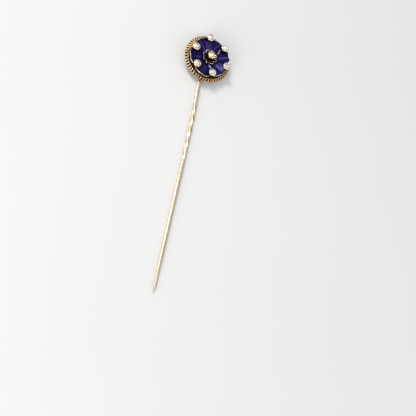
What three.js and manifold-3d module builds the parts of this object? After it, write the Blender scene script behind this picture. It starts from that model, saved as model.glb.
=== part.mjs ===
// Stick pin: a round jewelled head on a twisted gold pin stem.
// Millimetres, +Z out of the face of the head, the stem running towards -Y.
// The origin is the centre of the flat rear face of the back plate.

import * as THREE from 'three';
import { mergeVertices } from 'three/addons/utils/BufferGeometryUtils.js';
import Module from 'manifold-3d';

const wasm = await Module();
wasm.setup();

// ---- driving dimensions ---------------------------------------------------------------------

const GAP = 0.03; // clearance left at every soldered or set face
const LOBES = 6;
const HEAD_TURN = 77; // degrees from +X to the middle of the first petal
const LOBE_ANGLE = 360 / LOBES;

const BACK = { radius: 6.07, thickness: 0.4 };

const RIBS = {
  count: 52,
  turn: -1.4, // degrees from +X to the middle of the first rib
  innerRadius: 6.1,
  outerRadius: 7.24,
  height: 1.52,
  depth: 0.32,
};

const COLLAR = { innerRadius: 5.82, outerRadius: 6.07, top: 1.92 };

const FLOWER = {
  dishRadius: 6.36, // where the dish has risen by dishRise
  tipRadii: [5.95, 6.1, 6.5, 6.65, 6.12, 6.35], // tip of each petal, cut by hand and uneven
  notchRadii: [6.4, 6.2, 5.6, 5.6, 5.4, 5.8], // edge at the notch before each petal
  rimWidth: 0.28,
  centreHeight: 1.65, // the dish rises from here ...
  dishRise: 0.9, // ... by this much at the edge
  ridge: 0.32, // height of the fold along the middle of each petal
  sheet: 0.2, // thickness of the metal under the enamel
  bossRadius: 1.2,
  bossTop: 1.84,
};

const ENAMEL = 0.16; // thickness of the enamel layer

const COLLET = {
  bottom: 2.5,
  top: 3.74,
  footRadius: 0.58,
  radius: 1.1,
  stoneRadius: 0.82,
};

// Distance of each outer collet from the axis, and its turn in degrees from the notch between
// two petals. They are set by hand and not quite evenly.
const SETTINGS = [
  [5.4, 1],
  [5.65, -2.5],
  [5.15, 3],
  [5.6, 1.5],
  [5.25, -1.5],
  [5.5, -1],
];

const PEG = { radius: 0.32, circleRadius: 5.4 };

const CENTRE = {
  postRadius: 0.5,
  bottom: 2.62,
  top: 3.94,
  footRadius: 0.5,
  radius: 1.16,
  stoneRadius: 0.84,
  claws: 8,
  clawCircle: 1.09,
  clawBead: 0.18,
};

const ROSETTE = {
  loops: 8,
  hubRadius: 1.32,
  hubBottom: FLOWER.bossTop + GAP,
  hubTop: 2.14,
  loopRadius: 0.48,
  wireRadius: 0.12,
  loopCircle: 1.75,
  loopHeight: 2.33,
  loopTilt: 25.6, // degrees by which each loop lifts outwards
};

const STEM = {
  width: 0.9,
  corner: 0.2, // corner radius of the square wire
  startY: -2,
  twistStart: -14.95,
  twistEnd: -32.8,
  twistTurns: 1.25,
  taperStart: -59.4,
  tipY: -72.4,
  tipScale: 0.07,
};

// Centre line of the stem seen from the front: it leaves the head with a slight bow.
const STEM_LINE = [
  [-0.2, -2],
  [-0.39, -6],
  [-0.52, -10],
  [-0.35, -12.7],
  [-0.2, -16],
  [-0.1, -20.5],
  [-0.07, -35],
  [-0.18, -51],
  [-0.2, -62],
  [-0.2, -72.4],
];

// ---- materials ------------------------------------------------------------------------------

const gold = new THREE.MeshStandardMaterial({ color: 0xd2a858, metalness: 1, roughness: 0.3 });
const paleGold = new THREE.MeshStandardMaterial({ color: 0xe6d9a6, metalness: 1, roughness: 0.3 });
const rimMetal = new THREE.MeshStandardMaterial({ color: 0xcdbfae, metalness: 1, roughness: 0.3 });
const darkMetal = new THREE.MeshStandardMaterial({ color: 0x4f423a, metalness: 1, roughness: 0.5 });
const enamel = new THREE.MeshStandardMaterial({ color: 0x1d1670, metalness: 0, roughness: 0.1 });
const diamond = new THREE.MeshStandardMaterial({ color: 0xf4f6f8, metalness: 0, roughness: 0.02 });

// ---- geometry helpers -----------------------------------------------------------------------

const radians = THREE.MathUtils.degToRad;

function polar(radius, degrees, z) {
  const angle = radians(degrees);
  return new THREE.Vector3(radius * Math.cos(angle), radius * Math.sin(angle), z);
}

function signedVolume(points, triangles) {
  let volume = 0;
  for (const [a, b, c] of triangles) {
    volume += points[a].dot(new THREE.Vector3().crossVectors(points[b], points[c])) / 6;
  }
  return volume;
}

// Skins a row of cross-sections, which all have the same even number of points. An open row is
// capped at both ends by joining each point to its opposite one; a closed row joins up instead.
function loft(sections, closed = false) {
  const count = sections[0].length;
  const points = sections.flat();
  const triangles = [];
  const quad = (a, b, c, d) => triangles.push([a, b, c], [a, c, d]);

  const steps = closed ? sections.length : sections.length - 1;
  for (let i = 0; i < steps; i++) {
    const here = i * count;
    const next = ((i + 1) % sections.length) * count;
    for (let j = 0; j < count; j++) {
      const k = (j + 1) % count;
      quad(here + j, here + k, next + k, next + j);
    }
  }
  if (!closed) {
    const last = (sections.length - 1) * count;
    for (let j = 0; j < count / 2 - 1; j++) {
      const opposite = count - 1 - j;
      quad(j, opposite, opposite - 1, j + 1);
      quad(last + j, last + j + 1, last + opposite - 1, last + opposite);
    }
  }

  const outward = signedVolume(points, triangles) > 0;
  const index = triangles.flatMap(([a, b, c]) => (outward ? [a, b, c] : [a, c, b]));
  const geometry = new THREE.BufferGeometry().setFromPoints(points);
  geometry.setIndex(index);
  geometry.computeVertexNormals();
  return geometry;
}

// A turned solid about +Z from [radius, z] points that run upwards on the outside.
function turned(profile, segments) {
  const outline = profile.map(([radius, z]) => new THREE.Vector2(radius, z));
  return new THREE.LatheGeometry(outline, segments).rotateX(Math.PI / 2);
}

function rod(radius, bottom, top, segments) {
  const height = top - bottom;
  const cylinder = new THREE.CylinderGeometry(radius, radius, height, segments);
  return cylinder.rotateX(Math.PI / 2).translate(0, 0, (bottom + top) / 2);
}

function solid(geometry) {
  const bare = geometry.clone();
  bare.deleteAttribute('normal');
  bare.deleteAttribute('uv');
  const merged = mergeVertices(bare, 1e-4);
  return new wasm.Manifold(
    new wasm.Mesh({
      numProp: 3,
      vertProperties: new Float32Array(merged.attributes.position.array),
      triVerts: new Uint32Array(merged.index.array),
    }),
  );
}

function geometryOf(body) {
  const mesh = body.getMesh();
  const geometry = new THREE.BufferGeometry();
  geometry.setAttribute('position', new THREE.BufferAttribute(mesh.vertProperties, 3));
  geometry.setIndex(new THREE.BufferAttribute(mesh.triVerts, 1));
  geometry.computeVertexNormals();
  return geometry;
}

function joined(geometries) {
  return geometryOf(geometries.map(solid).reduce((whole, piece) => whole.add(piece)));
}

function cut(geometry, tools) {
  return geometryOf(tools.map(solid).reduce((whole, tool) => whole.subtract(tool), solid(geometry)));
}

function settingAngle(i) {
  return HEAD_TURN + LOBE_ANGLE * (i - 0.5) + SETTINGS[i][1];
}

// ---- petals and the plate below them --------------------------------------------------------
// u runs from -1 to 1 across a petal, and is 0 along its middle.

const PETAL_STEPS = [-1, -0.8, -0.55, -0.3, -0.12, 0, 0.12, 0.3, 0.55, 0.8, 1];

function edgeRadius(lobe, u) {
  const notch = FLOWER.notchRadii[(lobe + (u > 0 ? 1 : 0)) % LOBES];
  const swell = 1 - Math.abs(u) ** 3.2;
  return notch + (FLOWER.tipRadii[lobe] - notch) * swell;
}

// Height of the finished face: a shallow dish, folded up along the middle of each petal.
function faceHeight(radius, u) {
  const reach = radius / FLOWER.dishRadius;
  const fold = (1 - Math.abs(u)) ** 1.4 - 0.25;
  return FLOWER.centreHeight + FLOWER.dishRise * reach ** 1.5 + FLOWER.ridge * reach ** 0.7 * fold;
}

function pegHoles() {
  const holes = [];
  for (let i = 0; i < LOBES; i++) {
    const centre = polar(PEG.circleRadius, settingAngle(i), 0);
    holes.push(rod(PEG.radius + GAP, 0.5, 3, 12).translate(centre.x, centre.y, 0));
  }
  return holes;
}

function flowerPlateSection(lobe, u, degrees) {
  const recess = ENAMEL + GAP;
  const under = recess + FLOWER.sheet;
  const edge = edgeRadius(lobe, u);
  const rim = edge - FLOWER.rimWidth;
  const hole = CENTRE.postRadius + GAP;
  const spans = [2.2, 3.2, 4.2];
  const at = (radius, drop) => polar(radius, degrees, faceHeight(radius, u) - drop);

  const top = [
    polar(hole, degrees, FLOWER.bossTop),
    polar(FLOWER.bossRadius, degrees, FLOWER.bossTop),
    at(FLOWER.bossRadius, recess),
    ...spans.map((radius) => at(radius, recess)),
    at(rim, recess),
    at(rim, 0),
    at(edge, 0),
  ];
  const bottomRadii = [hole, 0.85, FLOWER.bossRadius, ...spans, rim - 0.2, rim + 0.1, edge];
  const bottom = bottomRadii.map((radius) => at(radius, under)).reverse();
  return [...top, ...bottom];
}

function flowerPlate() {
  const sections = [];
  for (let i = 0; i < LOBES; i++) {
    for (const u of PETAL_STEPS.slice(0, -1)) {
      const degrees = HEAD_TURN + LOBE_ANGLE * (i + u / 2);
      sections.push(flowerPlateSection(i, u, degrees));
    }
  }
  return cut(loft(sections, true), pegHoles());
}

function enamelPetal(i) {
  const middle = HEAD_TURN + LOBE_ANGLE * i;
  const inner = FLOWER.bossRadius + GAP;
  const sections = PETAL_STEPS.map((u) => {
    const outer = edgeRadius(i, u) - FLOWER.rimWidth - GAP;
    const radii = [inner, 2.2, 3.2, 4.2, outer];
    const at = (radius, drop) => {
      const halfGap = THREE.MathUtils.radToDeg(Math.asin(GAP / radius));
      const degrees = middle + u * (LOBE_ANGLE / 2 - halfGap);
      return polar(radius, degrees, faceHeight(radius, u) - drop);
    };
    const top = radii.map((radius) => at(radius, 0));
    const bottom = radii.map((radius) => at(radius, ENAMEL)).reverse();
    return [...top, ...bottom];
  });
  return cut(loft(sections), pegHoles());
}

// ---- head: plate, collar and ribbed border --------------------------------------------------

function backPlate() {
  return rod(BACK.radius, 0, BACK.thickness, 72);
}

function galleryCollar() {
  const foot = BACK.thickness + GAP;
  const { innerRadius, outerRadius, top } = COLLAR;
  const outline = [
    [innerRadius, foot],
    [outerRadius, foot],
    [outerRadius, top],
    [innerRadius, top],
    [innerRadius, foot],
  ];
  return turned(outline, 72);
}

// A ring of oval section, pressed into radial ribs with deep grooves between them. The grooves
// cross the crown and the outside, and leave the inner slope smooth.
function ribbedBorder() {
  const middle = (RIBS.innerRadius + RIBS.outerRadius) / 2;
  const reach = (RIBS.outerRadius - RIBS.innerRadius) / 2;
  const half = RIBS.height / 2;
  const around = 10;
  const pitch = 360 / RIBS.count;
  const steps = [
    [-0.17, 0],
    [0.17, 0],
    [0.34, RIBS.depth],
    [0.66, RIBS.depth],
  ];
  const sections = [];
  for (let rib = 0; rib < RIBS.count; rib++) {
    for (const [offset, depth] of steps) {
      const degrees = RIBS.turn + pitch * (rib + offset);
      const section = [];
      for (let j = 0; j < around; j++) {
        const turn = (2 * Math.PI * (j + 0.5)) / around;
        const out = Math.cos(turn);
        const groove = out > -0.5 ? depth : 0;
        const radius = middle + (reach - groove) * out;
        section.push(polar(radius, degrees, half + (half - groove) * Math.sin(turn)));
      }
      sections.push(section);
    }
  }
  return loft(sections, true);
}

// ---- collets and stones ---------------------------------------------------------------------

function colletCup({ bottom, top, footRadius, radius, stoneRadius }) {
  const seat = stoneRadius + GAP;
  return turned(
    [
      [0, bottom],
      [footRadius, bottom],
      [footRadius + 0.14, bottom + 0.2],
      [radius - 0.05, top - 0.42],
      [radius, top - 0.1],
      [radius - 0.09, top],
      [seat + 0.02, top - 0.04],
      [seat, top - 0.26],
      [seat * 0.5, top - 0.86],
      [0, top - 0.92],
    ],
    16,
  );
}

// An old-cut brilliant: small table, steep crown, pointed back.
function stone(radius, girdle) {
  const crown = 0.3 * radius;
  return turned(
    [
      [0, girdle - 0.62 * radius],
      [radius, girdle - 0.03],
      [radius, girdle + 0.03],
      [0.78 * radius, girdle + 0.6 * crown],
      [0.45 * radius, girdle + crown],
      [0, girdle + crown],
    ],
    8,
  );
}

function centreCollet() {
  const pieces = [colletCup(CENTRE)];
  for (let i = 0; i < CENTRE.claws; i++) {
    const degrees = (360 / CENTRE.claws) * (i + 0.5);
    const tip = polar(CENTRE.clawCircle, degrees, CENTRE.top - 0.08);
    const root = polar(0.72, degrees, CENTRE.bottom + 0.45);
    const prong = new THREE.CylinderGeometry(0.16, 0.1, tip.distanceTo(root), 6);
    const up = tip.clone().sub(root).normalize();
    prong.applyQuaternion(new THREE.Quaternion().setFromUnitVectors(new THREE.Vector3(0, 1, 0), up));
    const middle = tip.clone().add(root).multiplyScalar(0.5);
    pieces.push(prong.translate(middle.x, middle.y, middle.z));
    const bead = new THREE.SphereGeometry(CENTRE.clawBead, 7, 5);
    pieces.push(bead.rotateX(Math.PI / 2).translate(tip.x, tip.y, tip.z));
  }
  return joined(pieces);
}

function rosette() {
  const { hubRadius, hubBottom, hubTop, loopRadius, wireRadius, loopCircle, loopHeight } = ROSETTE;
  const hole = CENTRE.postRadius + GAP;
  const hub = turned(
    [
      [hole, hubBottom],
      [hubRadius - 0.1, hubBottom],
      [hubRadius, hubTop - 0.1],
      [hubRadius - 0.1, hubTop],
      [hole, hubTop],
      [hole, hubBottom],
    ],
    24,
  );
  const pieces = [hub];
  for (let i = 0; i < ROSETTE.loops; i++) {
    const loop = new THREE.TorusGeometry(loopRadius, wireRadius, 6, 14);
    loop.rotateY(-radians(ROSETTE.loopTilt)).translate(loopCircle, 0, loopHeight);
    pieces.push(loop.rotateZ(radians(HEAD_TURN + (360 / ROSETTE.loops) * i)));
  }
  return joined(pieces);
}

// ---- stem -----------------------------------------------------------------------------------

const stemAxisZ = -GAP - STEM.width / 2;

const stemLine = new THREE.CubicInterpolant(
  STEM_LINE.map(([, y]) => -y),
  STEM_LINE.map(([x]) => x),
  1,
  new Float32Array(1),
);

function stemX(y) {
  return stemLine.evaluate(-y)[0];
}

function stemScale(y) {
  if (y >= STEM.taperStart) return 1;
  const t = (STEM.taperStart - y) / (STEM.taperStart - STEM.tipY);
  const slender = 1 - 0.36 * t;
  const point = Math.min(1, STEM.tipScale + (1 - t) * 9);
  return slender * Math.sqrt(point);
}

function stemTwist(y) {
  const t = (STEM.twistStart - y) / (STEM.twistStart - STEM.twistEnd);
  return -2 * Math.PI * STEM.twistTurns * THREE.MathUtils.clamp(t, 0, 1);
}

// Square wire with rounded corners, three points to each corner.
function stemSection(y) {
  const half = STEM.width / 2;
  const inset = half - STEM.corner;
  const scale = stemScale(y);
  const section = [];
  for (let corner = 0; corner < 4; corner++) {
    const centre = Math.PI / 4 + (corner * Math.PI) / 2;
    for (const lean of [-1, 0, 1]) {
      const turn = centre + (lean * Math.PI) / 4;
      const x = Math.SQRT2 * inset * Math.cos(centre) + STEM.corner * Math.cos(turn);
      const z = Math.SQRT2 * inset * Math.sin(centre) + STEM.corner * Math.sin(turn);
      const point = new THREE.Vector2(x, z).multiplyScalar(scale);
      point.rotateAround(new THREE.Vector2(), stemTwist(y));
      section.push(new THREE.Vector3(stemX(y) + point.x, y, stemAxisZ + point.y));
    }
  }
  return section;
}

function stemStations() {
  const stations = STEM_LINE.map(([, y]) => y).filter((y) => y > STEM.twistStart);
  const twistSteps = 40;
  for (let i = 0; i <= twistSteps; i++) {
    stations.push(THREE.MathUtils.lerp(STEM.twistStart, STEM.twistEnd, i / twistSteps));
  }
  return [...stations, -40, -50, STEM.taperStart, -63, -67, -70, -71.3, -72, STEM.tipY];
}

function pinStem() {
  return loft(stemStations().map(stemSection));
}

// Solder flowed along both sides of the wire and round its end, in one piece.
function stemSolder() {
  const reach = 1.3; // half of its greatest width
  const end = STEM.startY + 0.5;
  const foot = STEM.startY - 3.2;
  const middle = stemX((STEM.startY + foot) / 2);
  const outline = [
    [end, 0.35],
    [end - 0.25, 0.72],
    [STEM.startY - 0.6, 1],
    [foot + 0.5, 0.9],
    [foot, 0.66],
  ];
  const mound = loft(
    outline.map(([y, fullness]) => {
      const wide = reach * fullness;
      const at = (x, z) => new THREE.Vector3(middle + x, y, z);
      return [at(-wide, -GAP), at(-0.72 * wide, -0.3), at(0.72 * wide, -0.3), at(wide, -GAP)];
    }),
  );
  const length = 6;
  const channel = new THREE.BoxGeometry(STEM.width + 0.16, length, 2);
  channel.translate(middle, STEM.startY + GAP - length / 2, 0);
  return cut(mound, [channel]);
}

// ---- assembly -------------------------------------------------------------------------------

const pin = new THREE.Group();

function add(name, geometry, material) {
  const mesh = new THREE.Mesh(geometry, material);
  mesh.name = name;
  pin.add(mesh);
  return mesh;
}

add('pin_stem', pinStem(), paleGold);
add('stem_solder', stemSolder(), paleGold);
add('back_plate', backPlate(), gold);
add('gallery_collar', galleryCollar(), gold);
add('ribbed_border', ribbedBorder(), gold);
add('flower_plate', flowerPlate(), rimMetal);
add('center_post', rod(CENTRE.postRadius, BACK.thickness + GAP, CENTRE.bottom - GAP, 16), gold);
add('rosette', rosette(), darkMetal);
add('center_collet', centreCollet(), gold);
add('center_diamond', stone(CENTRE.stoneRadius, CENTRE.top - 0.2), diamond);

for (let i = 0; i < LOBES; i++) {
  add(`enamel_petal_${i + 1}`, enamelPetal(i), enamel);
}

function setAt(mesh, radius, degrees) {
  mesh.position.copy(polar(radius, degrees, 0));
  mesh.rotation.z = radians(degrees);
}

for (let i = 0; i < LOBES; i++) {
  const degrees = settingAngle(i);
  const peg = rod(PEG.radius, BACK.thickness + GAP, COLLET.bottom - GAP, 12);
  setAt(add(`collet_peg_${i + 1}`, peg, gold), PEG.circleRadius, degrees);

  const [radius] = SETTINGS[i];
  setAt(add(`notch_collet_${i + 1}`, colletCup(COLLET), paleGold), radius, degrees);
  const gem = stone(COLLET.stoneRadius, COLLET.top - 0.2);
  setAt(add(`notch_diamond_${i + 1}`, gem, diamond), radius, degrees);
}

export default pin;
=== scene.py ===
"""Jewelled stick pin: the finished surfaces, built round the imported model, in a plain studio.

Shapes are worked out in millimetres in the part's own frame (face towards +Z, stem towards -Y,
origin at the centre of the flat back) and stored in metres.
"""

import math
import random

import bmesh
import bpy
from mathutils import Matrix, Vector, noise


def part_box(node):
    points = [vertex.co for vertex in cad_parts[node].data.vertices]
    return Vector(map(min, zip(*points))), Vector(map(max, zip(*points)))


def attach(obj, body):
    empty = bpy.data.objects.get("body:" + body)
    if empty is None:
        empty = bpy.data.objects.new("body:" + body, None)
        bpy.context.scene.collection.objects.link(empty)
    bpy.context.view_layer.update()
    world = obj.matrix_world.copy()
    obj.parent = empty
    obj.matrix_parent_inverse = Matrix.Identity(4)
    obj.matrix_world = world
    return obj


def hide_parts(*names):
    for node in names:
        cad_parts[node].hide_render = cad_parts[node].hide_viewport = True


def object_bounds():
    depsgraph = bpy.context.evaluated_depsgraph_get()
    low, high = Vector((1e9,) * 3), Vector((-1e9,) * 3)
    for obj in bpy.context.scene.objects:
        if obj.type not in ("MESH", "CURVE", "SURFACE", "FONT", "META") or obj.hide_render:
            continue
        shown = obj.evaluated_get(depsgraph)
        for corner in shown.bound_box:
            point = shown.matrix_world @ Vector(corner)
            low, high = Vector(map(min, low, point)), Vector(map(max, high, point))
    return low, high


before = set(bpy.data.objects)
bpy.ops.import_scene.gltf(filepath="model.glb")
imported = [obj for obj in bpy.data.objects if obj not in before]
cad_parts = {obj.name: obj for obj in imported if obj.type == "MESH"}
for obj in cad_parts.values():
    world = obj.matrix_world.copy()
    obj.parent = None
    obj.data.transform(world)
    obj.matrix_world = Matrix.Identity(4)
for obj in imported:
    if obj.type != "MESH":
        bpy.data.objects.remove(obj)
cad_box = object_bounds()

MM = 0.001


def span(node):
    """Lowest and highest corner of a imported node, in millimetres."""
    low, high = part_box(node)
    return Vector(low) / MM, Vector(high) / MM


# ---- sizes ------------------------------------------------------------------------------------

ring_low, ring_high = span("ribbed_border")
plate_low, plate_high = span("back_plate")
collar_low, collar_high = span("gallery_collar")
cup_low, cup_high = span("notch_collet_1")
peg_low, peg_high = span("collet_peg_1")
stone_low, stone_high = span("notch_diamond_1")
boss_low, boss_high = span("center_post")
claw_low, claw_high = span("center_collet")
gem_low, gem_high = span("center_diamond")
stem_low, stem_high = span("pin_stem")

LOBES = 6
HEAD_TURN = 77.0
LOBE_ANGLE = 360 / LOBES

RIB_COUNT = 52
RIB_TURN = -1.4
RIB_DEPTH = 0.38
RIB_WIDTH = 0.265  # half the width of a crown, as a share of the pitch
RING_OUTER = 7.24
RING_INNER = 6.1
RING_HEIGHT = ring_high.z - ring_low.z
PAINTED_LIGHT_START = (140, 148)  # degrees over which the painted lit stretch of the channel comes in
PAINTED_LIGHT_END = (168, 182)  # and over which it goes out again

BACK_RADIUS = (plate_high.x - plate_low.x) / 2
BACK_TOP = plate_high.z
COLLAR_OUTER = (collar_high.x - collar_low.x) / 2
COLLAR_WALL = 0.25

DISH_RADIUS = 6.36
TIP_RADII = [5.95, 6.1, 6.5, 6.65, 6.12, 6.35]
NOTCH_RADII = [6.4, 6.2, 5.6, 5.6, 5.4, 5.8]
RIM_WIDTH = 0.22
DISH_CENTRE = 1.65
DISH_RISE = 0.9
RIDGE = 0.32
SHEET = 0.2
ENAMEL = 0.16
SEAM = 0.012  # half the gap between two fields of enamel
BOSS_RADIUS = 1.2
BOSS_TOP = 1.84

COLLET_RADIUS = 1.1
COLLET_FOOT = 0.58
STONE_SEAT = 0.85
STONE_RADIUS = 0.82
SETTINGS = [(5.4, 1.0), (5.65, -2.5), (5.15, 3.0), (5.6, 1.5), (5.25, -1.5), (5.5, -1.0)]
PEG_CIRCLE = 5.4
PEG_RADIUS = 0.32
POST_RADIUS = (boss_high.x - boss_low.x) / 2
PLAY = 0.03  # between a piece and the one it passes through

CLAWS = 8
CENTRE_FOOT = 0.5
CENTRE_SEAT = 0.88
CENTRE_STONE = 0.84

LOOPS = 8
LOOP_RADIUS = 0.5
LOOP_WIRE = 0.1
LOOP_CIRCLE = 1.75
LOOP_HEIGHT = 2.33
LOOP_TILT = 25.6
HUB_RADIUS = 1.32
HUB_BOTTOM = 1.87
HUB_TOP = 2.14

STEM_WIDTH = 0.9
STEM_AXIS_Z = -PLAY - STEM_WIDTH / 2
TWIST_START = -14.95
TWIST_END = -32.8
TWIST_TURNS = 1.25
TAPER_START = -59.4
TAPER = 0.36  # the share of its width that the wire loses on the way to the tip
TIP_Y = stem_low.y
SOLDER_REACH = 0.62
SOLDER_DEPTH = 0.26
STEM_LINE = [
    (-0.2, -2.0),
    (-0.39, -6.0),
    (-0.52, -10.0),
    (-0.35, -12.7),
    (-0.2, -16.0),
    (-0.1, -20.5),
    (-0.07, -35.0),
    (-0.18, -51.0),
    (-0.2, -62.0),
    (-0.2, -72.4),
]


# ---- materials --------------------------------------------------------------------------------


class Shader:
    """A material's node tree, filled in a line at a time."""

    def __init__(self, name):
        self.material = bpy.data.materials.new(name)
        self.material.use_nodes = True
        self.tree = self.material.node_tree
        self.tree.nodes.clear()
        self.surface = self.add("ShaderNodeBsdfPrincipled")
        output = self.add("ShaderNodeOutputMaterial")
        self.link(self.surface.outputs[0], output.inputs["Surface"])

    def add(self, kind, inputs=None, **settings):
        node = self.tree.nodes.new(kind)
        for key, value in settings.items():
            setattr(node, key, value)
        for key, value in (inputs or {}).items():
            if isinstance(value, bpy.types.NodeSocket):
                self.link(value, node.inputs[key])
            else:
                node.inputs[key].default_value = value
        return node

    def link(self, source, target):
        self.tree.links.new(source, target)

    def set(self, **values):
        for key, value in values.items():
            self.surface.inputs[key.replace("_", " ")].default_value = value

    def feed(self, name, source):
        self.link(source, self.surface.inputs[name])

    def place(self):
        return self.add("ShaderNodeTexCoord").outputs["Object"]

    def grain(self, scale, detail=3.0, roughness=0.5, stretch=None):
        place = self.place()
        if stretch:
            place = self.add("ShaderNodeMapping", {"Vector": place, "Scale": stretch}).outputs[0]
        inputs = {"Vector": place, "Scale": scale, "Detail": detail, "Roughness": roughness}
        return self.add("ShaderNodeTexNoise", inputs).outputs["Fac"]

    def attribute(self, name):
        return self.add("ShaderNodeAttribute", attribute_name=name).outputs["Fac"]

    def math(self, operation, a, b=0.0, clamp=False):
        inputs = {0: a, 1: b}
        return self.add("ShaderNodeMath", inputs, operation=operation, use_clamp=clamp).outputs[0]

    def ramp(self, factor, *stops):
        node = self.add("ShaderNodeValToRGB", {"Fac": factor})
        elements = node.color_ramp.elements
        while len(elements) < len(stops):
            elements.new(1.0)
        for element, (position, colour) in zip(elements, stops):
            element.position = position
            element.color = (*colour, 1.0)
        return node.outputs["Color"]

    def level(self, factor, low, high, out_low, out_high):
        inputs = {0: factor, 1: low, 2: high, 3: out_low, 4: out_high}
        return self.add("ShaderNodeMapRange", inputs).outputs[0]

    def blend(self, factor, a, b, blend_type="MIX"):
        node = self.add("ShaderNodeMix", data_type="RGBA", blend_type=blend_type)
        for index, value in ((0, factor), (6, a), (7, b)):
            if isinstance(value, bpy.types.NodeSocket):
                self.link(value, node.inputs[index])
            elif index:
                node.inputs[index].default_value = (*value, 1.0)
            else:
                node.inputs[index].default_value = value
        return node.outputs[2]

    def bump(self, height, distance):
        inputs = {"Height": height, "Distance": distance, "Strength": 1.0}
        return self.add("ShaderNodeBump", inputs).outputs[0]


def gold_material(name, bright, warm, recess, roughness=0.2, metal=1.0, specular=0.5):
    """Polished old gold: warmer in patches, and mixed towards the recess colour as painted shade
    where the "recess" attribute says.
    """
    shader = Shader(name)
    patches = shader.grain(420.0, 4.0)
    tone = shader.blend(shader.level(patches, 0.35, 0.7, 0.0, 1.0), bright, warm)
    # Painted shade: the recess value, broken up a little by noise, mixes in the recess colour.
    depth = shader.attribute("recess")
    painted_shade = shader.math("MULTIPLY", depth, shader.level(shader.grain(1500.0), 0.3, 0.6, 0.95, 1.0))
    shader.feed("Base Color", shader.blend(painted_shade, tone, recess))
    wear = shader.level(shader.grain(2600.0, 5.0, 0.6), 0.3, 0.75, roughness * 0.7, roughness * 1.7)
    shader.feed("Roughness", shader.math("ADD", wear, shader.math("MULTIPLY", depth, 0.25)))
    shader.feed("Normal", shader.bump(shader.grain(3200.0, 4.0, 0.6), 4e-6))
    shader.set(Metallic=metal, Specular_IOR_Level=specular)
    return shader.material


def stem_material():
    """Pale drawn gold with fine lines along the wire."""
    shader = Shader("drawn_gold")
    patches = shader.grain(260.0, 4.0, 0.5, (1.0, 0.25, 1.0))
    colour = shader.ramp(
        patches,
        (0.3, (0.74, 0.56, 0.34)),
        (0.5, (0.82, 0.70, 0.49)),
        (0.72, (0.85, 0.78, 0.61)),
    )
    shader.feed("Base Color", colour)
    lines = shader.grain(2400.0, 4.0, 0.6, (1.0, 0.06, 1.0))
    shader.feed("Roughness", shader.level(lines, 0.3, 0.75, 0.2, 0.42))
    shader.feed("Normal", shader.bump(lines, 7e-6))
    shader.set(Metallic=1.0)
    return shader.material


RAYS = 8  # engraved lines across half a petal
WAVES = 9  # and their swings along it


def enamel_material():
    """Deep blue glass over an engraved ground, with painted highlights along folds and seams.

    The "petal" UV runs across and along each petal; the highlight attribute carries the painted
    highlights, and "recess" the painted shade in the valleys, at the centre and under the collets.
    """
    shader = Shader("blue_enamel")
    uv = shader.add("ShaderNodeUVMap", uv_map="petal").outputs[0]
    parts = shader.add("ShaderNodeSeparateXYZ", {"Vector": uv})
    across = shader.math("MULTIPLY", parts.outputs[0], 2 * math.pi * RAYS)
    along = shader.math("MULTIPLY", parts.outputs[1], 2 * math.pi * WAVES)
    swing = shader.math("MULTIPLY", shader.math("SINE", along), 0.35)
    rays = shader.math("SINE", shader.math("ADD", across, swing))
    cells = shader.math("MULTIPLY", rays, shader.math("COSINE", along))
    engraving = shader.math("ADD", shader.math("MULTIPLY", cells, 0.5), 0.5)

    spread = shader.add("ShaderNodeMapping", {"Vector": uv, "Scale": (3.2, 0.9, 1.0)}).outputs[0]
    inputs = {"Vector": spread, "Scale": 1.7, "Detail": 3.0, "Roughness": 0.55}
    streaks = shader.add("ShaderNodeTexNoise", inputs).outputs["Fac"]
    mottle = shader.grain(900.0, 3.0, 0.6)
    broad = shader.level(streaks, 0.3, 0.72, 0.0, 0.5)
    tone = shader.math("ADD", broad, shader.level(mottle, 0.3, 0.75, 0.0, 0.22))
    tone = shader.math("ADD", tone, shader.math("MULTIPLY", engraving, 0.16))
    shaded = shader.math("MULTIPLY", shader.attribute("recess"), 0.55)
    tone = shader.math("SUBTRACT", tone, shaded, True)
    deep = shader.ramp(
        tone,
        (0.0, (0.0010, 0.0004, 0.006)),
        (0.25, (0.0035, 0.0018, 0.026)),
        (0.55, (0.008, 0.0045, 0.066)),
        (0.9, (0.024, 0.014, 0.16)),
    )
    # Painted highlights: pale lavender laid on where the highlight attribute is high.
    highlight_tint = shader.ramp(
        shader.attribute("painted_highlight"),
        (0.0, (0.0, 0.0, 0.0)),
        (0.4, (0.05, 0.038, 0.15)),
        (0.7, (0.17, 0.145, 0.40)),
        (0.9, (0.50, 0.48, 0.68)),
        (1.0, (0.85, 0.84, 0.95)),
    )
    shader.feed("Base Color", shader.blend(1.0, deep, highlight_tint, "ADD"))
    shader.feed("Roughness", shader.level(engraving, 0.0, 1.0, 0.5, 0.3))
    shader.feed("Normal", shader.bump(engraving, 1.6e-5))
    shader.feed("Coat Normal", shader.bump(shader.grain(700.0, 2.0), 8e-6))
    shader.set(Metallic=0.0, Coat_Weight=0.09, Coat_Roughness=0.04, Coat_IOR=1.5)
    shader.set(Specular_IOR_Level=0.05)
    return shader.material


def diamond_material():
    """Clear stone with painted reflections: each facet is painted white or grey by its "recess"
    value.
    """
    shader = Shader("diamond")
    grey = shader.attribute("recess")
    shader.feed("Base Color", shader.blend(grey, (1.0, 1.0, 1.0), (0.22, 0.24, 0.25)))
    shader.set(Roughness=0.0, IOR=2.42, Transmission_Weight=0.4)
    return shader.material


def floor_material():
    shader = Shader("pale_floor")
    tone = shader.grain(14.0, 2.0)
    darker, lighter = (0.62, 0.62, 0.615), (0.65, 0.65, 0.645)
    shader.feed("Base Color", shader.ramp(tone, (0.0, darker), (1.0, lighter)))
    shader.set(Roughness=0.7)
    return shader.material


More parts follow.
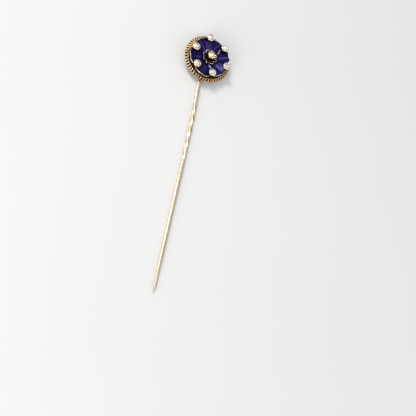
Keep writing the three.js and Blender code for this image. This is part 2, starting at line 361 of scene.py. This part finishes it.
GOLD = gold_material(
    "yellow_gold", (0.98, 0.66, 0.31), (0.92, 0.48, 0.16), (0.016, 0.005, 0.003)
)
RIB_GOLD = gold_material(
    "ribbed_gold", (1.0, 0.81, 0.49), (1.0, 0.60, 0.24), (0.014, 0.003, 0.001),
    metal=0.6, specular=0.03,
)
PALE_GOLD = gold_material(
    "pale_gold", (0.95, 0.85, 0.63), (0.90, 0.70, 0.41), (0.60, 0.27, 0.09)
)
RIM_GOLD = gold_material(
    "rim_gold", (0.66, 0.54, 0.53), (0.54, 0.40, 0.36), (0.06, 0.03, 0.02)
)
OXIDISED = gold_material(
    "oxidised_gold", (0.74, 0.62, 0.50), (0.50, 0.37, 0.27), (0.004, 0.002, 0.001)
)
SOLDER = gold_material(
    "solder", (0.86, 0.76, 0.54), (0.70, 0.56, 0.34), (0.16, 0.1, 0.05), roughness=0.35
)
STEM_GOLD = stem_material()
BLUE = enamel_material()
DIAMOND = diamond_material()


# ---- mesh helpers -----------------------------------------------------------------------------


def polar(radius, degrees, z):
    angle = math.radians(degrees)
    return Vector((radius * math.cos(angle), radius * math.sin(angle), z))


class Shape:
    """Vertices in millimetres, faces, and a "recess" value for each vertex, used for painted shade
    and for painted facet reflections on the stones: 0 light, 1 dark.
    """

    def __init__(self):
        self.points = []
        self.faces = []
        self.recess = []

    def add(self, points, faces, recess=None):
        first = len(self.points)
        self.points += [Vector(p) for p in points]
        self.faces += [tuple(first + i for i in face) for face in faces]
        self.recess += list(recess) if recess else [0.0] * len(points)
        return self

    def skin(self, sections, recess=None, closed=False):
        """Quads over a row of closed cross-sections; the end ones are capped unless the row
        itself closes."""
        count = len(sections[0])
        rows = len(sections)
        faces = []
        for i in range(rows if closed else rows - 1):
            here, after = i * count, ((i + 1) % rows) * count
            for j in range(count):
                k = (j + 1) % count
                faces.append((here + j, here + k, after + k, after + j))
        if not closed:
            faces.append(tuple(range(count)))
            faces.append(tuple(reversed(range((rows - 1) * count, rows * count))))
        flat = [p for section in sections for p in section]
        shade = [value for row in recess for value in row] if recess else None
        return self.add(flat, faces, shade)

    def turned(self, profile, segments, ripple=None, recess=None):
        """A solid turned about +Z from a closed outline of (radius, z) points."""
        sections = []
        for i in range(segments):
            degrees = 360 * i / segments
            swell = ripple(degrees) if ripple else 0.0
            sections.append([polar(r * (1 + swell), degrees, z) for r, z in profile])
        shade = [recess] * segments if recess else None
        return self.skin(sections, shade, closed=True)

    def moved(self, turn=None, place=(0, 0, 0)):
        matrix = turn or Matrix.Identity(3)
        self.points = [matrix @ p + Vector(place) for p in self.points]
        return self

    def join(self, other):
        return self.add(other.points, other.faces, other.recess)


def round_profile(corners, radius, steps=4):
    """A closed outline of (r, z) corners with each corner rounded; "radius" may be a list."""
    outline = []
    count = len(corners)
    for i, corner in enumerate(corners):
        size = radius[i] if isinstance(radius, (list, tuple)) else radius
        here = Vector(corner)
        if size == 0:
            outline.append(tuple(here))
            continue
        before = Vector(corners[i - 1]) - here
        after = Vector(corners[(i + 1) % count]) - here
        reach = min(size, before.length * 0.45, after.length * 0.45)
        start, end = here + before.normalized() * reach, here + after.normalized() * reach
        for step in range(steps + 1):
            t = step / steps
            outline.append(tuple(start * (1 - t) ** 2 + here * 2 * t * (1 - t) + end * t * t))
    return outline


def build(name, shape, material, nodes, sharp=38.0, flat=False, uv=None, painted_highlight=None):
    """Makes the Blender object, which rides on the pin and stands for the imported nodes."""
    mesh = bpy.data.meshes.new(name)
    mesh.from_pydata([p * MM for p in shape.points], [], shape.faces)
    for title, values in (("recess", shape.recess), ("painted_highlight", painted_highlight)):
        if values:
            mesh.attributes.new(title, "FLOAT", "POINT").data.foreach_set("value", values)
    work = bmesh.new()
    work.from_mesh(mesh)
    if not uv:
        bmesh.ops.dissolve_degenerate(work, dist=1e-9, edges=work.edges)
    bmesh.ops.recalc_face_normals(work, faces=work.faces)
    for face in work.faces:
        face.smooth = not flat
    limit = math.radians(sharp)
    for edge in work.edges:
        if len(edge.link_faces) == 2 and edge.calc_face_angle(0.0) > limit:
            edge.smooth = False
    work.to_mesh(mesh)
    work.free()
    if uv:
        layer = mesh.uv_layers.new(name="petal")
        for loop in mesh.loops:
            layer.data[loop.index].uv = uv[loop.vertex_index]
    thing = bpy.data.objects.new(name, mesh)
    bpy.context.collection.objects.link(thing)
    mesh.materials.append(material)
    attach(thing, "root")
    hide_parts(*nodes)


def wobble(seed, amount, scale):
    """A smooth, repeatable unevenness round a turned rim, as a share of the radius."""

    def at(degrees):
        angle = math.radians(degrees)
        spot = Vector((math.cos(angle) * scale, math.sin(angle) * scale, seed * 7.3))
        return amount * noise.noise(spot)

    return at


def smoothstep(low, high, value):
    t = min(max((value - low) / (high - low), 0.0), 1.0)
    return t * t * (3 - 2 * t)


# ---- back plate, collar and ribbed border -----------------------------------------------------


def make_back_plate():
    corners = [(0.02, 0), (BACK_RADIUS, 0), (BACK_RADIUS, BACK_TOP), (0.02, BACK_TOP)]
    profile = round_profile(corners, [0, 0.12, 0.04, 0])
    shape = Shape().turned(profile, 128)
    build("back_plate_gold", shape, GOLD, ["back_plate"])


def painted_channel_shade(degrees):
    """Painted shade in the channel round the flower: dark all round but for one stretch painted as
    lit.
    """
    return 1.0 - 0.9 * smoothstep(*PAINTED_LIGHT_START, degrees) * (1 - smoothstep(*PAINTED_LIGHT_END, degrees))


def make_collar():
    inner = COLLAR_OUTER - COLLAR_WALL
    foot, top = collar_low.z, collar_high.z
    corners = [(inner, foot), (COLLAR_OUTER, foot), (COLLAR_OUTER, top), (inner, top)]
    profile = round_profile(corners, [0.03, 0.03, 0.1, 0.08])
    sections, shades = [], []
    for degrees in range(0, 360, 2):
        sections.append([polar(r, degrees, z) for r, z in profile])
        # Painted shade all round the collar, except on the painted lit stretch of the channel.
        shades.append([painted_channel_shade(degrees)] * len(profile))
    shape = Shape().skin(sections, shades, closed=True)
    build("gallery_collar_gold", shape, GOLD, ["gallery_collar"])


def rib_lift(t, width):
    """1 on the crown of a rib, 0 in the groove; t runs from -0.5 to 0.5 across the pitch."""
    distance = abs(t) / width
    if distance >= 1:
        return 0.0
    return (1 - distance ** 2.6) ** 0.55


def make_ribbed_border():
    draw = random.Random(48)
    middle = (RING_INNER + RING_OUTER) / 2
    reach = (RING_OUTER - RING_INNER) / 2
    half = RING_HEIGHT / 2
    around, across = 36, 20
    pitch = 360 / RIB_COUNT
    sections, shades = [], []
    for rib in range(RIB_COUNT):
        width = RIB_WIDTH + draw.uniform(-0.03, 0.03)
        lean = draw.uniform(-0.07, 0.07)
        height = 1 - draw.uniform(0, 0.06)
        for step in range(across):
            t = (step + 0.5) / across - 0.5
            lift = rib_lift(t - lean, width)
            groove = RIB_DEPTH * (1 - lift * height)
            degrees = RIB_TURN + pitch * (rib + t)
            section, shade = [], []
            for j in range(around):
                turn = 2 * math.pi * j / around
                out, up = math.cos(turn), math.sin(turn)
                ribbed = smoothstep(-0.75, -0.35, out)
                cut = groove * ribbed
                section.append(polar(middle + (reach - cut) * out, degrees, half + (half - cut) * up))
                # Painted shade: dark in the grooves between ribs and on the inner slope, except on
                # the painted lit stretch.
                groove_shade = min(1.0, 3.5 * (1 - lift)) * ribbed
                slope_shade = painted_channel_shade(degrees % 360) * smoothstep(-0.45, -0.85, out)
                shade.append(max(groove_shade, slope_shade))
            sections.append(section)
            shades.append(shade)
    shape = Shape().skin(sections, shades, closed=True)
    build("ribbed_border_gold", shape, RIB_GOLD, ["ribbed_border"], sharp=80)


# ---- flower plate and enamel ------------------------------------------------------------------
# u runs from -1 to 1 across a petal, and is 0 along its middle.


def edge_radius(lobe, u):
    """The petals were cut by hand, so each tip and each notch has a radius of its own."""
    notch = NOTCH_RADII[(lobe + (1 if u > 0 else 0)) % LOBES]
    return notch + (TIP_RADII[lobe] - notch) * (1 - abs(u) ** 3.2)


def face_height(radius, u):
    reach = radius / DISH_RADIUS
    soft = math.sqrt(u * u + 0.0016) - 0.04
    fold = (1 - min(soft, 1.0)) ** 1.4 - 0.25
    return DISH_CENTRE + DISH_RISE * reach ** 1.5 + RIDGE * reach ** 0.7 * fold


def make_flower_plate():
    recess = ENAMEL + PLAY
    under = recess + SHEET
    hole = POST_RADIUS + PLAY
    steps = 48
    sections, shades = [], []
    for lobe in range(LOBES):
        for step in range(steps):
            u = 2 * step / steps - 1
            degrees = HEAD_TURN + LOBE_ANGLE * (lobe + u / 2)
            edge = edge_radius(lobe, u)
            rim = edge - RIM_WIDTH
            # The third value in each row is painted shade: full in the enamel seat and under the
            # plate, partial on top of the boss, none on the rim's face.
            row = [
                (hole, BOSS_TOP, 0.6),
                (BOSS_RADIUS, BOSS_TOP, 0.6),
                (BOSS_RADIUS + 0.02, face_height(BOSS_RADIUS, u) - recess, 1),
                (2.2, face_height(2.2, u) - recess, 1),
                (3.4, face_height(3.4, u) - recess, 1),
                (rim - 0.02, face_height(rim, u) - recess, 1),
                (rim, face_height(rim, u) - 0.02, 0.5),
                (rim + 0.03, face_height(rim, u) + 0.015, 0.1),
                (rim + 0.1, face_height(rim, u) + 0.035, 0),
                (edge - 0.1, face_height(edge, u) + 0.02, 0),
                (edge - 0.03, face_height(edge, u) - 0.02, 0),
                (edge, face_height(edge, u) - 0.08, 0),
                (edge, face_height(edge, u) - 0.3, 0.3),
                (edge - 0.04, face_height(edge, u) - under, 0.9),
                (rim - 0.3, face_height(rim, u) - under, 1),
                (3.4, face_height(3.4, u) - under, 1),
                (2.2, face_height(2.2, u) - under, 1),
                (hole, face_height(hole, u) - under, 1),
            ]
            sections.append([polar(r, degrees, z) for r, z, _ in row])
            shades.append([shade for _, _, shade in row])
    shape = Shape().skin(sections, shades, closed=True)
    build("flower_plate_gold", shape, RIM_GOLD, ["flower_plate"], sharp=70)


# Painted highlights on the glass, each running outwards on one petal: the petal, its u at
# the inner and at the outer end, its half width, the two radii it runs between, and how strong.
HIGHLIGHT_MARKS = [
    (0, -0.06, -0.42, 0.15, 2.9, 6.0, 0.40),
    (0, -0.97, -0.76, 0.17, 3.7, 4.7, 0.95),
    (0, 0.82, 0.82, 0.55, 2.2, 5.3, 0.22),
    (1, 0.00, 0.05, 0.16, 1.3, 5.7, 0.36),
    (1, -0.05, 0.00, 0.14, 1.2, 2.6, 0.45),
    (1, -0.82, -0.82, 0.55, 2.2, 5.3, 0.22),
    (2, 0.04, 0.14, 0.20, 2.7, 4.5, 0.33),
    (3, 0.10, 0.10, 0.35, 2.8, 5.6, 0.12),
    (3, 0.80, 1.00, 0.17, 2.1, 3.1, 1.0),
    (4, -1.00, -0.80, 0.17, 2.5, 3.4, 1.0),
    (4, 0.46, 0.50, 0.62, 2.6, 5.9, 0.58),
    (4, 0.96, 0.78, 0.32, 4.0, 5.6, 0.68),
    (5, -0.98, -0.86, 0.22, 3.2, 4.4, 0.50),
    (5, 0.00, 0.12, 0.19, 2.6, 6.3, 0.46),
    (5, 0.93, 1.00, 0.15, 3.0, 4.1, 1.0),
]


def highlight_strength(petal, u, radius):
    """How strong the painted highlight is at a point: 0 none, 1 full."""
    total = 0.0
    for owner, inner_u, outer_u, width, start, end, strength in HIGHLIGHT_MARKS:
        if owner != petal or not start < radius < end:
            continue
        t = (radius - start) / (end - start)
        off = (u - inner_u - (outer_u - inner_u) * t) * radius * math.radians(LOBE_ANGLE / 2)
        fade = smoothstep(0, 0.18, t) * (1 - smoothstep(0.8, 1, t))
        total += strength * fade * math.exp(-((off / width) ** 2))
    return min(total, 1.0)


def collet_shade(degrees, radius):
    """Painted shade on the glass where it runs under an outer collet."""
    shade = 0.0
    for index, (distance, turn) in enumerate(SETTINGS):
        centre = polar(distance, HEAD_TURN + LOBE_ANGLE * (index - 0.5) + turn, 0)
        gap = (polar(radius, degrees, 0) - centre).length
        shade = max(shade, 1 - smoothstep(0.9, 1.7, gap))
    return shade


def make_petal(index):
    """A cupped field of enamel, domed very slightly down at its edges."""
    middle = HEAD_TURN + LOBE_ANGLE * index
    inner = BOSS_RADIUS + PLAY
    across, along = 72, 44
    sections, shades, uvs, highlight_values = [], [], [], []
    for i in range(across + 1):
        u = 2 * i / across - 1
        top, bottom, shade, uv, painted_highlight = [], [], [], [], []
        outer = edge_radius(index, u) - RIM_WIDTH - 0.01
        for j in range(along + 1):
            t = j / along
            radius = inner + (outer - inner) * t
            half_gap = math.degrees(math.asin(SEAM / radius))
            degrees = middle + u * (LOBE_ANGLE / 2 - half_gap)
            slump = 0.03 * (smoothstep(0.95, 1.0, abs(u)) + smoothstep(0.96, 1.0, t))
            top.append(polar(radius, degrees, face_height(radius, u) - slump))
            bottom.append(polar(radius, degrees, face_height(radius, u) - ENAMEL))
            # Painted shade: darker near the seams, near the centre under the rosette, and under the
            # outer collets.
            valley = 0.35 * smoothstep(0.7, 1.0, abs(u))
            centre = 1 - smoothstep(1.9, 3.0, radius)
            shade.append(min(1.0, max(valley, centre, collet_shade(degrees, radius))))
            uv.append((u + 3 * index, radius / DISH_RADIUS))
            painted_highlight.append(highlight_strength(index, u, radius))
        sections.append(top + bottom[::-1])
        shades.append(shade + shade[::-1])
        uvs += uv + uv[::-1]
        highlight_values += painted_highlight + [0.0] * len(painted_highlight)
    shape = Shape().skin(sections, shades)
    name = f"enamel_petal_{index + 1}"
    build(name + "_glass", shape, BLUE, [name], sharp=70, uv=uvs, painted_highlight=highlight_values)


# ---- collets, pegs, post and rosette ----------------------------------------------------------


def rod(radius, low, high, segments, recess=0.0):
    """A plain round rod about +Z, its edges just broken."""
    corners = [(0.01, low), (radius, low), (radius, high), (0.01, high)]
    profile = round_profile(corners, [0, 0.03, 0.03, 0])
    return Shape().turned(profile, segments, None, [recess] * len(profile))


def cup_profile(low, high, foot, radius, seat):
    corners = [
        (0.01, low),
        (foot, low),
        (foot + 0.14, low + 0.2),
        (radius - 0.05, high - 0.42),
        (radius, high - 0.08),
        (radius - 0.1, high),
        (seat + 0.01, high - 0.03),
        (seat, high - 0.26),
        (seat * 0.5, high - 0.86),
        (0.01, high - 0.92),
    ]
    rounds = [0, 0.05, 0.15, 0.3, 0.05, 0.05, 0.03, 0.06, 0.1, 0]
    return round_profile(corners, rounds)


def make_collet(index):
    radius, turn = SETTINGS[index]
    degrees = HEAD_TURN + LOBE_ANGLE * (index - 0.5) + turn
    place = polar(radius, degrees, 0)
    profile = cup_profile(cup_low.z, cup_high.z, COLLET_FOOT, COLLET_RADIUS, STONE_SEAT)
    inside = [r < STONE_SEAT - 0.01 and z > cup_low.z + 0.3 for r, z in profile]
    # Painted shade: the outside of the cup goes deeper and darker below its top rim; the stone's seat
    # stays clear.
    recess = [
        0.0 if within else 1 - smoothstep(cup_high.z - 0.45, cup_high.z - 0.06, z)
        for within, (r, z) in zip(inside, profile)
    ]
    shape = Shape().turned(profile, 72, wobble(index, 0.02, 1.6), recess)
    shape.moved(Matrix.Rotation(math.radians(degrees), 3, "Z"), place)
    name = f"notch_collet_{index + 1}"
    build(name + "_gold", shape, PALE_GOLD, [name])

    peg = rod(PEG_RADIUS, peg_low.z, peg_high.z, 32)
    peg.moved(None, polar(PEG_CIRCLE, degrees, 0))
    name = f"collet_peg_{index + 1}"
    build(name + "_gold", peg, GOLD, [name])

    stone = old_cut(STONE_RADIUS, stone_low.z, stone_high.z, index)
    stone.moved(Matrix.Rotation(math.radians(degrees + 17 * index), 3, "Z"), place)
    name = f"notch_diamond_{index + 1}"
    build(name + "_stone", stone, DIAMOND, [name], flat=True)


def old_cut(radius, low, high, seed):
    """An old-cut diamond: small table, high crown, deep pavilion with a tiny open culet."""
    draw = random.Random(900 + seed)
    girdle = low + 0.62 * radius
    crown = high - girdle
    rings = [
        (0.44, crown, 8, 0.5),
        (0.74, 0.62 * crown, 8, 0.0),
        (1.0, 0.04, 16, 0.25),
        (1.0, -0.02, 16, 0.25),
        (0.55, -0.31 * radius, 8, 0.5),
        (0.07, -0.6 * radius, 8, 0.0),
    ]
    work = bmesh.new()
    for size, height, count, offset in rings:
        for i in range(count):
            degrees = 360 * (i + offset) / count + draw.uniform(-1.2, 1.2)
            reach = size * radius * (1 if size == 1.0 else draw.uniform(0.985, 1.0))
            work.verts.new(polar(reach, degrees, girdle + height))
    bmesh.ops.convex_hull(work, input=work.verts)
    bmesh.ops.dissolve_limit(
        work, angle_limit=math.radians(1.5), verts=work.verts, edges=work.edges
    )
    work.verts.ensure_lookup_table()
    work.verts.index_update()
    stone = Shape()
    for face in work.faces:
        # Painted reflections: the table is painted white and the other facets white or grey at
        # random.
        table = face.normal.z > 0.95
        tone = 0.0 if table else draw.choice((0.0, 0.0, 0.25, 0.6, 1.0))
        points = [v.co.copy() for v in face.verts]
        stone.add(points, [tuple(range(len(points)))], [tone] * len(points))
    work.free()
    return stone


def tube(path, radius, sides, closed=False):
    """A round wire along a list of points; radius is a number or one for each point."""
    count = len(path)
    radii = radius if isinstance(radius, list) else [radius] * count
    sections = []
    side = None
    for i, point in enumerate(path):
        before = path[i - 1] if closed or i else path[i]
        after = path[(i + 1) % count] if closed or i < count - 1 else path[i]
        along = (after - before).normalized()
        if side is None:
            side = along.orthogonal().normalized()
        side = (side - along * side.dot(along)).normalized()
        other = along.cross(side)
        ring = []
        for j in range(sides):
            turn = 2 * math.pi * j / sides
            ring.append(point + radii[i] * (side * math.cos(turn) + other * math.sin(turn)))
        sections.append(ring)
    return Shape().skin(sections, None, closed=closed)


def make_centre():
    low, high = claw_low.z, claw_high.z - 0.1
    profile = cup_profile(low, high - 0.05, CENTRE_FOOT, COLLET_RADIUS, CENTRE_SEAT)
    inside = [r < CENTRE_SEAT - 0.01 and z > low + 0.3 for r, z in profile]
    # Painted shade: the outside of the cup darkens towards its foot.
    recess = [
        0.0 if within else 0.7 * (1 - smoothstep(low, high - 0.3, z))
        for within, (r, z) in zip(inside, profile)
    ]
    shape = Shape().turned(profile, 72, wobble(11, 0.015, 1.5), recess)
    for i in range(CLAWS):
        degrees = 360 * (i + 0.5) / CLAWS
        path = [
            polar(0.62, degrees, low + 0.3),
            polar(0.84, degrees, low + 0.62),
            polar(1.04, degrees, low + 1.0),
            polar(1.1, degrees, low + 1.25),
            polar(1.07, degrees, high),
            polar(0.98, degrees, high + 0.07),
        ]
        shape.join(tube(path, [0.07, 0.1, 0.13, 0.15, 0.15, 0.08], 12))
    build("center_collet_gold", shape, GOLD, ["center_collet"], sharp=60)

    # Painted shade: the centre post is darkened all over.
    post = rod(POST_RADIUS, boss_low.z, boss_high.z, 40, recess=0.6)
    build("center_post_gold", post, GOLD, ["center_post"])

    stone = old_cut(CENTRE_STONE, gem_low.z, gem_high.z, 21)
    stone.moved(Matrix.Rotation(math.radians(31), 3, "Z"))
    build("center_diamond_stone", stone, DIAMOND, ["center_diamond"], flat=True)


def make_rosette():
    """Wire loops rising from a hub, with painted shade on the hub and on the lower and inner half of
    each loop.
    """
    hole = POST_RADIUS + PLAY
    corners = [
        (hole, HUB_BOTTOM),
        (HUB_RADIUS - 0.1, HUB_BOTTOM),
        (HUB_RADIUS, HUB_TOP - 0.12),
        (HUB_RADIUS - 0.12, HUB_TOP),
        (hole, HUB_TOP),
    ]
    profile = round_profile(corners, 0.05)
    # Painted shade: the hub is dark all over.
    shape = Shape().turned(profile, 48, None, [1.0] * len(profile))
    points = 36
    tilt = Matrix.Rotation(-math.radians(LOOP_TILT), 3, "Y")
    for i in range(LOOPS):
        ring = [polar(LOOP_RADIUS, 360 * j / points, 0) for j in range(points)]
        loop = tube(ring, LOOP_WIRE, 12, closed=True)
        # Painted shade: each loop is dark on its underside and on the half towards the centre.
        loop.recess = [
            max(1 - smoothstep(-0.05, 0.03, p.z), smoothstep(0.0, -0.35, p.x)) for p in loop.points
        ]
        loop.moved(tilt, (LOOP_CIRCLE, 0, LOOP_HEIGHT))
        loop.moved(Matrix.Rotation(math.radians(HEAD_TURN + 360 * i / LOOPS), 3, "Z"))
        shape.join(loop)
    build("rosette_wire", shape, OXIDISED, ["rosette"], sharp=60)


# ---- stem -------------------------------------------------------------------------------------


def stem_x(y):
    """Smooth curve through the points of the stem's centre line."""
    last = len(STEM_LINE) - 1
    i = max(k for k in range(last) if STEM_LINE[k][1] >= y or k == 0)
    x1, y1 = STEM_LINE[i]
    x2, y2 = STEM_LINE[i + 1]
    x0, y0 = STEM_LINE[max(i - 1, 0)]
    x3, y3 = STEM_LINE[min(i + 2, last)]
    width = y2 - y1
    start = (x2 - x0) / (y2 - y0) * width
    end = (x3 - x1) / (y3 - y1) * width
    t = (y - y1) / width
    return (
        x1 * (2 * t ** 3 - 3 * t ** 2 + 1)
        + start * (t ** 3 - 2 * t ** 2 + t)
        + x2 * (3 * t ** 2 - 2 * t ** 3)
        + end * (t ** 3 - t ** 2)
    )


def stem_scale(y):
    if y >= TAPER_START:
        return 1.0
    t = (TAPER_START - y) / (TAPER_START - TIP_Y)
    return (1 - TAPER * t) * math.sqrt(min(1.0, 0.01 + (1 - t) * 9))


def stem_section(y, sides=48):
    """Square wire with rounded corners, turned by the twist."""
    twist = min(max((TWIST_START - y) / (TWIST_START - TWIST_END), 0.0), 1.0)
    turn = -2 * math.pi * TWIST_TURNS * twist
    power = 5.0 - 2.2 * smoothstep(-36, -60, y)
    half = STEM_WIDTH / 2 * stem_scale(y)
    section = []
    for j in range(sides):
        angle = 2 * math.pi * j / sides
        c, s = math.cos(angle), math.sin(angle)
        size = half / (abs(c) ** power + abs(s) ** power) ** (1 / power)
        x, z = size * math.cos(angle + turn), size * math.sin(angle + turn)
        section.append(Vector((stem_x(y) + x, y, STEM_AXIS_Z + z)))
    return section


def make_stem():
    top = stem_high.y
    sections = []
    steps = 420
    for i in range(steps + 1):
        sections.append(stem_section(top + (TIP_Y - top) * i / steps))
    shape = Shape().skin(sections)
    build("pin_stem_wire", shape, STEM_GOLD, ["pin_stem"], sharp=60)


def make_solder():
    """A fillet of solder flowed along both sides of the wire and round its end."""
    low, high = span("stem_solder")
    middle = (low.x + high.x) / 2
    gap = STEM_WIDTH / 2 + PLAY
    top = -PLAY
    end = stem_high.y + PLAY
    path = []
    straight = 10
    foot = low.y + 0.1
    for i in range(straight):
        path.append((-gap, foot + (end - foot) * i / straight, -1.0, 0.0))
    for i in range(9):
        turn = math.pi * i / 8
        path.append((-gap * math.cos(turn), end, -math.cos(turn), math.sin(turn)))
    for i in range(straight):
        path.append((gap, end - (end - foot) * (i + 1) / straight, 1.0, 0.0))
    sections = []
    for i, (x, y, nx, ny) in enumerate(path):
        fade = smoothstep(0, 3, i) * smoothstep(0, 3, len(path) - 1 - i)
        wide = 0.12 + SOLDER_REACH * fade + 0.05 * noise.noise(Vector((i * 0.4, 0, 5)))
        wide = min(wide, (high.y - end) * 0.95) if ny > 0.5 else wide
        row = []
        for step in range(7):
            t = step / 6
            depth = SOLDER_DEPTH * (1 - t) ** 2 * (0.5 + 0.5 * fade)
            row.append(Vector((middle + x + nx * wide * t, y + ny * wide * t, top - depth)))
        row.append(Vector((middle + x, y, top)))
        sections.append(row)
    shape = Shape().skin(sections)
    build("stem_solder_fillet", shape, SOLDER, ["stem_solder"], sharp=60)


# ---- studio -----------------------------------------------------------------------------------

KEY_PLACE = (-0.24, 0.16, 0.34)
DOME_LOW = 0.2
DOME_HIGH = 0.85
DOME_EDGES = (-0.3, 0.95)  # cosines of the angle from the key where the two strengths are reached
FLOOR_HALF = 3.0


def make_floor():
    z = cad_box[0][2]
    mesh = bpy.data.meshes.new("floor")
    signs = [(-1, -1), (1, -1), (1, 1), (-1, 1)]
    corners = [(FLOOR_HALF * x, FLOOR_HALF * y, z) for x, y in signs]
    mesh.from_pydata(corners, [], [(0, 1, 2, 3)])
    mesh.materials.append(floor_material())
    floor = bpy.data.objects.new("floor", mesh)
    bpy.context.collection.objects.link(floor)


def area_light(name, place, size, power, colour):
    """A round lamp aimed at the jewel."""
    data = bpy.data.lights.new(name, "AREA")
    data.shape = "DISK"
    data.size = size
    data.energy = power
    data.color = colour
    lamp = bpy.data.objects.new(name, data)
    lamp.location = Vector(place)
    lamp.rotation_euler = (-Vector(place)).to_track_quat("-Z", "Y").to_euler()
    bpy.context.collection.objects.link(lamp)


def make_world():
    """A studio dome, bright over the key light and greyer away from it."""
    world = bpy.data.worlds.new("studio")
    world.use_nodes = True
    bpy.context.scene.world = world
    nodes, links = world.node_tree.nodes, world.node_tree.links
    place = nodes.new("ShaderNodeTexCoord")
    facing = nodes.new("ShaderNodeVectorMath")
    facing.operation = "DOT_PRODUCT"
    facing.inputs[1].default_value = Vector(KEY_PLACE).normalized()
    spread = nodes.new("ShaderNodeMapRange")
    spread.interpolation_type = "SMOOTHSTEP"
    for index, value in enumerate((*DOME_EDGES, DOME_LOW, DOME_HIGH)):
        spread.inputs[index + 1].default_value = value
    background = nodes["Background"]
    background.inputs["Color"].default_value = (0.95, 0.97, 1.0, 1.0)
    links.new(place.outputs["Generated"], facing.inputs[0])
    links.new(facing.outputs["Value"], spread.inputs[0])
    links.new(spread.outputs[0], background.inputs["Strength"])


def make_lights():
    area_light("key", KEY_PLACE, size=0.14, power=1.15, colour=(1.0, 0.985, 0.96))
    area_light("fill", (0.30, -0.12, 0.25), size=0.22, power=0.35, colour=(0.95, 0.97, 1.0))
    area_light("front", (-0.20, -0.30, 0.16), size=0.24, power=0.85, colour=(1.0, 0.97, 0.93))


CAMERA_PLACE = Vector((-96.42, -159.83, 263.47)) * MM
CAMERA_TARGET = Vector((10.09, -43.91, 0.0)) * MM
PICTURE_UP = 102.23  # the direction on the floor that points up in the picture, degrees from +X
LENS = 94.98
SENSOR = 36.0


def make_camera():
    data = bpy.data.cameras.new("camera")
    data.lens = LENS
    data.sensor_width = SENSOR
    data.clip_start = 0.01
    data.clip_end = 10.0
    camera = bpy.data.objects.new("camera", data)
    forward = (CAMERA_TARGET - CAMERA_PLACE).normalized()
    right = forward.cross(polar(1, PICTURE_UP, 0)).normalized()
    up = right.cross(forward)
    turn = Matrix((right, up, -forward)).transposed().to_4x4()
    camera.matrix_world = Matrix.Translation(CAMERA_PLACE) @ turn
    bpy.context.collection.objects.link(camera)
    bpy.context.scene.camera = camera


# ---- everything -------------------------------------------------------------------------------

make_camera()
make_floor()
make_world()
make_lights()
bpy.context.scene.view_settings.view_transform = "Standard"

make_back_plate()
make_collar()
make_ribbed_border()
make_flower_plate()
for petal in range(LOBES):
    make_petal(petal)
for collet in range(LOBES):
    make_collet(collet)
make_centre()
make_rosette()
make_stem()
make_solder()
